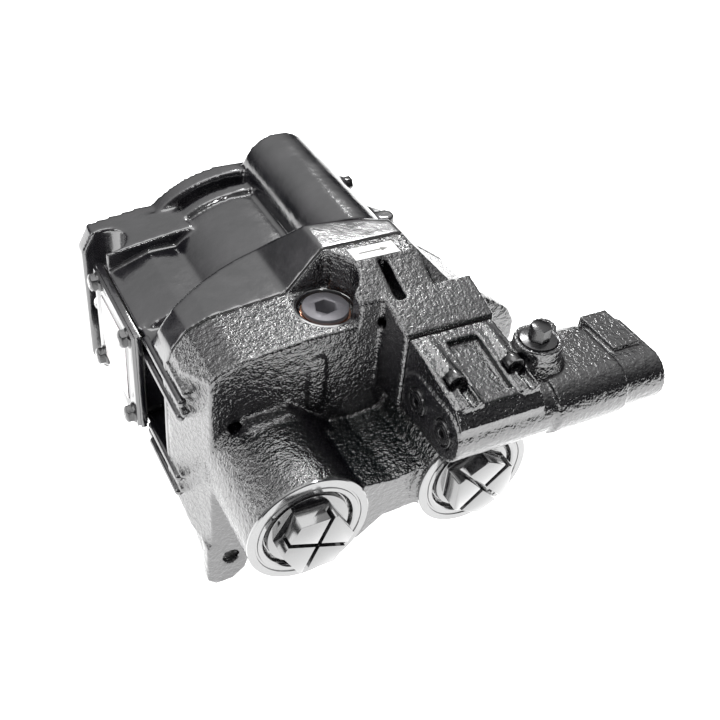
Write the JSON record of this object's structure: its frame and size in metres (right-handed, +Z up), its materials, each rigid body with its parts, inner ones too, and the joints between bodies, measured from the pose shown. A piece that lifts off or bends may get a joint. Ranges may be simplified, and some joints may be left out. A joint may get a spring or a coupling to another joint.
{
  "type": "axial piston pump",
  "caption": "Variable axial piston pump with a tilting swashplate, rear ports closed by shipping plugs, a two-spool control valve and a two-bolt flange.",
  "frame": {"origin": "centre of the shaft on the plane of the mounting flange's face", "axes": "+Y along the shaft, out of the splined end; the rear cover and ports are towards -Y; the control valve is on the +X side; +Z up, through the servo cylinder"},
  "size_m": [0.3272, 0.3948, 0.2538],
  "materials": {
    "cast_black": "smooth satin black paint over an iron casting",
    "rough_black": "black paint over a coarse sand casting",
    "black_screw": "black painted steel",
    "gasket": "dark gasket sheet",
    "plate": "blank brushed plate",
    "label": "white label with a plain arrow",
    "black_plastic": "moulded black plastic",
    "copper": "soft copper sealing ring",
    "steel": "ground steel",
    "bronze": "bearing bronze",
    "spring_steel": "spring wire",
    "seal_rubber": "oil seal rubber"
  },
  "bodies": {
    "casing": {"housing": "cast_black", "rear_cover": "rough_black", "cover_gasket": "gasket", "cover_screws": "steel", "side_cover": "cast_black", "side_cover_gasket": "gasket", "side_cover_screws": "black_screw", "nameplate": "plate", "rotation_label": "label", "drain_plug": "black_screw", "drain_plug_seal": "copper", "control_valve_body": "rough_black", "valve_gasket": "gasket", "valve_screws": "black_screw", "valve_test_plug": "black_screw", "stroke_stop_screw": "black_screw", "front_bearing_cup": "steel", "rear_bearing": "steel", "shaft_seal": "seal_rubber", "seal_retaining_ring": "spring_steel", "valve_plate": "bronze", "cradle_bearings": "bronze"},
    "rotating_group": {"drive_shaft": "steel", "cylinder_block": "steel", "retainer_ball": "steel", "block_spring": "spring_steel", "front_bearing_cone_and_rollers": "steel"},
    "swashplate": {"swashplate": "steel"},
    "retainer_plate": {"retainer_plate": "steel"},
    "control_piston": {"control_piston": "steel"},
    "bias_piston": {"bias_piston": "steel", "bias_spring": "spring_steel"},
    "load_sense_spool": {"load_sense_spool": "steel", "load_sense_spring_seat": "steel", "load_sense_spring": "spring_steel"},
    "pressure_limit_spool": {"pressure_limit_spool": "steel", "pressure_limit_spring_seat": "steel", "pressure_limit_spring": "spring_steel"},
    "load_sense_adjuster": {"load_sense_adjuster": "black_screw"},
    "pressure_limit_adjuster": {"pressure_limit_adjuster": "black_screw"},
    "suction_port_plug": {"suction_port_plug": "black_plastic"},
    "pressure_port_plug": {"pressure_port_plug": "black_plastic"},
    "piston_1": {"piston_1": "steel"},
    "slipper_1": {"slipper_1": "bronze"},
    "piston_2": {"piston_2": "steel"},
    "slipper_2": {"slipper_2": "bronze"},
    "piston_3": {"piston_3": "steel"},
    "slipper_3": {"slipper_3": "bronze"},
    "piston_4": {"piston_4": "steel"},
    "slipper_4": {"slipper_4": "bronze"},
    "piston_5": {"piston_5": "steel"},
    "slipper_5": {"slipper_5": "bronze"},
    "piston_6": {"piston_6": "steel"},
    "slipper_6": {"slipper_6": "bronze"},
    "piston_7": {"piston_7": "steel"},
    "slipper_7": {"slipper_7": "bronze"},
    "piston_8": {"piston_8": "steel"},
    "slipper_8": {"slipper_8": "bronze"},
    "piston_9": {"piston_9": "steel"},
    "slipper_9": {"slipper_9": "bronze"}
  },
  "joints": [
    {"name": "shaft_spin", "type": "hinge", "parent": "casing", "child": "rotating_group", "pos_m": [0, 0, 0], "axis": [0, 1, 0], "range_deg": [-360, 360]},
    {"name": "swash_tilt", "type": "hinge", "parent": "casing", "child": "swashplate", "pos_m": [0, -0.095, 0], "axis": [1, 0, 0], "range_deg": [0, 17]},
    {"name": "retainer_tilt", "type": "hinge", "parent": "rotating_group", "child": "retainer_plate", "pos_m": [0, -0.095, 0], "axis": [1, 0, 0], "range_deg": [0, 17]},
    {"name": "piston_1_stroke", "type": "slide", "parent": "rotating_group", "child": "piston_1", "axis": [0, 1, 0], "range_m": [-0.0129, 0.0005]},
    {"name": "slipper_1_tilt", "type": "hinge", "parent": "piston_1", "child": "slipper_1", "pos_m": [0.01087, -0.095, 0.04057], "axis": [1, 0, 0], "range_deg": [0, 17]},
    {"name": "piston_2_stroke", "type": "slide", "parent": "rotating_group", "child": "piston_2", "axis": [0, 1, 0], "range_m": [-0.01214, 0.0005]},
    {"name": "slipper_2_tilt", "type": "hinge", "parent": "piston_2", "child": "slipper_2", "pos_m": [-0.01775, -0.095, 0.03807], "axis": [1, 0, 0], "range_deg": [0, 17]},
    {"name": "piston_3_stroke", "type": "slide", "parent": "rotating_group", "child": "piston_3", "axis": [0, 1, 0], "range_m": [-0.00593, 0.0005]},
    {"name": "slipper_3_tilt", "type": "hinge", "parent": "piston_3", "child": "slipper_3", "pos_m": [-0.03807, -0.095, 0.01775], "axis": [1, 0, 0], "range_deg": [0, 17]},
    {"name": "piston_4_stroke", "type": "slide", "parent": "rotating_group", "child": "piston_4", "axis": [0, 1, 0], "range_m": [-0.0005, 0.00382]},
    {"name": "slipper_4_tilt", "type": "hinge", "parent": "piston_4", "child": "slipper_4", "pos_m": [-0.04057, -0.095, -0.01087], "axis": [1, 0, 0], "range_deg": [0, 17]},
    {"name": "piston_5_stroke", "type": "slide", "parent": "rotating_group", "child": "piston_5", "axis": [0, 1, 0], "range_m": [-0.0005, 0.01102]},
    {"name": "slipper_5_tilt", "type": "hinge", "parent": "piston_5", "child": "slipper_5", "pos_m": [-0.02409, -0.095, -0.0344], "axis": [1, 0, 0], "range_deg": [0, 17]},
    {"name": "piston_6_stroke", "type": "slide", "parent": "rotating_group", "child": "piston_6", "axis": [0, 1, 0], "range_m": [-0.0005, 0.01329]},
    {"name": "slipper_6_tilt", "type": "hinge", "parent": "piston_6", "child": "slipper_6", "pos_m": [0.00366, -0.095, -0.04184], "axis": [1, 0, 0], "range_deg": [0, 17]},
    {"name": "piston_7_stroke", "type": "slide", "parent": "rotating_group", "child": "piston_7", "axis": [0, 1, 0], "range_m": [-0.0005, 0.00958]},
    {"name": "slipper_7_tilt", "type": "hinge", "parent": "piston_7", "child": "slipper_7", "pos_m": [0.0297, -0.095, -0.0297], "axis": [1, 0, 0], "range_deg": [0, 17]},
    {"name": "piston_8_stroke", "type": "slide", "parent": "rotating_group", "child": "piston_8", "axis": [0, 1, 0], "range_m": [-0.0005, 0.00162]},
    {"name": "slipper_8_tilt", "type": "hinge", "parent": "piston_8", "child": "slipper_8", "pos_m": [0.04184, -0.095, -0.00366], "axis": [1, 0, 0], "range_deg": [0, 17]},
    {"name": "piston_9_stroke", "type": "slide", "parent": "rotating_group", "child": "piston_9", "axis": [0, 1, 0], "range_m": [-0.00787, 0.0005]},
    {"name": "slipper_9_tilt", "type": "hinge", "parent": "piston_9", "child": "slipper_9", "pos_m": [0.0344, -0.095, 0.02409], "axis": [1, 0, 0], "range_deg": [0, 17]},
    {"name": "control_piston_stroke", "type": "slide", "parent": "casing", "child": "control_piston", "axis": [0, -1, 0], "range_m": [0, 0.02808]},
    {"name": "bias_piston_stroke", "type": "slide", "parent": "casing", "child": "bias_piston", "axis": [0, -1, 0], "range_m": [0, 0.02808], "deforming": ["bias_spring"]},
    {"name": "load_sense_spool_slide", "type": "slide", "parent": "casing", "child": "load_sense_spool", "axis": [1, 0, 0], "range_m": [-0.003, 0.003], "deforming": ["load_sense_spring"]},
    {"name": "load_sense_adjust", "type": "slide", "parent": "casing", "child": "load_sense_adjuster", "axis": [1, 0, 0], "range_m": [-0.0015, 0.0005]},
    {"name": "pressure_limit_spool_slide", "type": "slide", "parent": "casing", "child": "pressure_limit_spool", "axis": [1, 0, 0], "range_m": [-0.003, 0.003], "deforming": ["pressure_limit_spring"]},
    {"name": "pressure_limit_adjust", "type": "slide", "parent": "casing", "child": "pressure_limit_adjuster", "axis": [1, 0, 0], "range_m": [-0.0015, 0.0005]},
    {"name": "suction_plug_pull", "type": "slide", "parent": "casing", "child": "suction_port_plug", "axis": [0, -1, 0], "range_m": [0, 0.04]},
    {"name": "pressure_plug_pull", "type": "slide", "parent": "casing", "child": "pressure_port_plug", "axis": [0, -1, 0], "range_m": [0, 0.04]}
  ],
  "couplings": [
    {"joint": "retainer_tilt", "follows": "swash_tilt", "ratio": 1},
    {"joint": "piston_1_stroke", "follows": "swash_tilt", "m_per_rad": -0.041803},
    {"joint": "slipper_1_tilt", "follows": "swash_tilt", "ratio": 1},
    {"joint": "piston_2_stroke", "follows": "swash_tilt", "m_per_rad": -0.039223},
    {"joint": "slipper_2_tilt", "follows": "swash_tilt", "ratio": 1},
    {"joint": "piston_3_stroke", "follows": "swash_tilt", "m_per_rad": -0.01829},
    {"joint": "slipper_3_tilt", "follows": "swash_tilt", "ratio": 1},
    {"joint": "piston_4_stroke", "follows": "swash_tilt", "m_per_rad": 0.011201},
    {"joint": "slipper_4_tilt", "follows": "swash_tilt", "ratio": 1},
    {"joint": "piston_5_stroke", "follows": "swash_tilt", "m_per_rad": 0.035451},
    {"joint": "slipper_5_tilt", "follows": "swash_tilt", "ratio": 1},
    {"joint": "piston_6_stroke", "follows": "swash_tilt", "m_per_rad": 0.043113},
    {"joint": "slipper_6_tilt", "follows": "swash_tilt", "ratio": 1},
    {"joint": "piston_7_stroke", "follows": "swash_tilt", "m_per_rad": 0.030602},
    {"joint": "slipper_7_tilt", "follows": "swash_tilt", "ratio": 1},
    {"joint": "piston_8_stroke", "follows": "swash_tilt", "m_per_rad": 0.003772},
    {"joint": "slipper_8_tilt", "follows": "swash_tilt", "ratio": 1},
    {"joint": "piston_9_stroke", "follows": "swash_tilt", "m_per_rad": -0.024823},
    {"joint": "slipper_9_tilt", "follows": "swash_tilt", "ratio": 1},
    {"joint": "control_piston_stroke", "follows": "swash_tilt", "m_per_rad": 0.093612},
    {"joint": "bias_piston_stroke", "follows": "swash_tilt", "m_per_rad": 0.093612}
  ]
}
